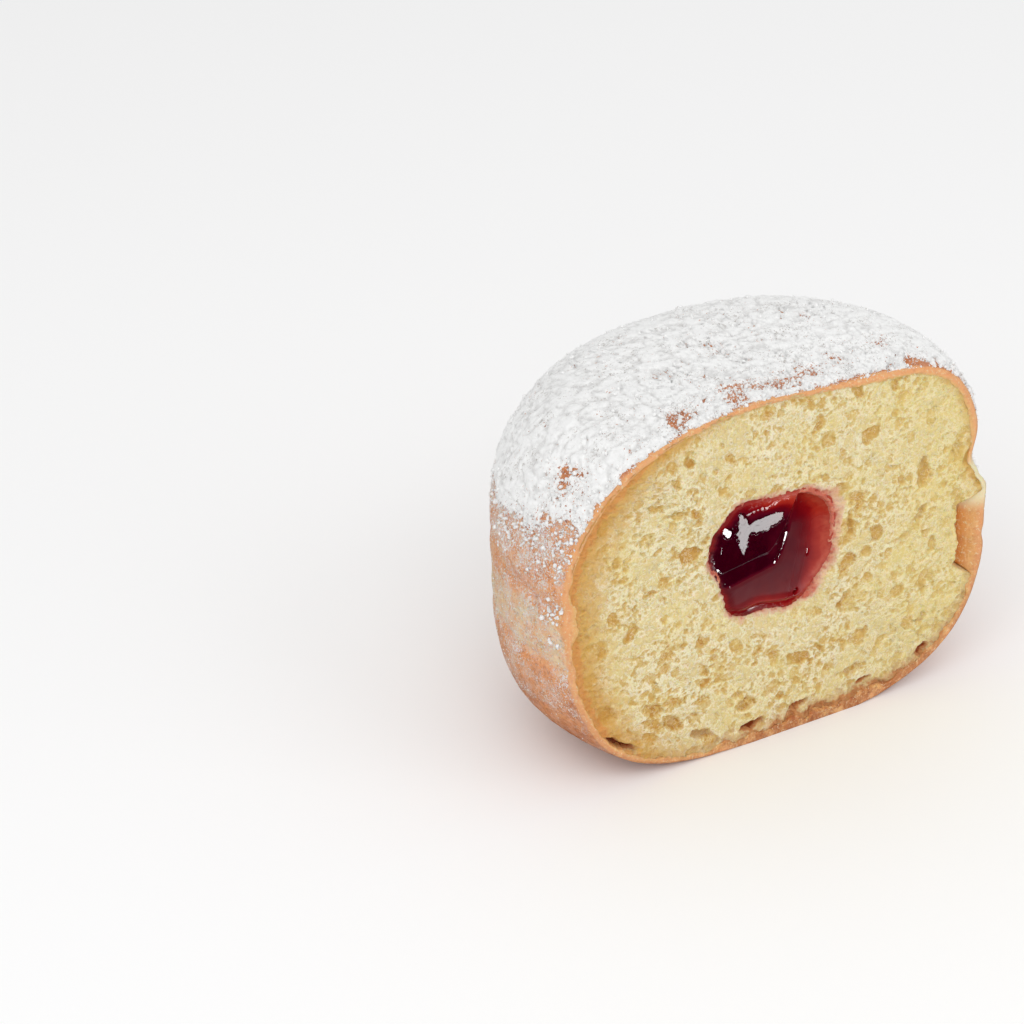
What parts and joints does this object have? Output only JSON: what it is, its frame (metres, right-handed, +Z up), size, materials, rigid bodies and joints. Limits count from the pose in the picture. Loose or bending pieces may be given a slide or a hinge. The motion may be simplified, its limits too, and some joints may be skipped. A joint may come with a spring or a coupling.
{
  "type": "jelly filled doughnut",
  "caption": "Cut half of a round jelly filled doughnut: sugared fried crust with a pale belt, open crumb, and a pocket of red jelly that shows at the flat cut.",
  "frame": {"origin": "foot of the doughnut's own upright axis, on the flat spot that it rests on; the cut lies 10 mm in front of that axis", "axes": "+Z up, through the crown; the cut face looks along -Y; +X to the right as the cut face is looked at"},
  "size_m": [0.0832, 0.0499, 0.063],
  "materials": {
    "crust": "matte",
    "crumb": "matte",
    "sugar": "matte",
    "jelly": "gloss"
  },
  "bodies": {
    "root": {"dough": "crumb", "jelly": "jelly"}
  },
  "joints": []
}
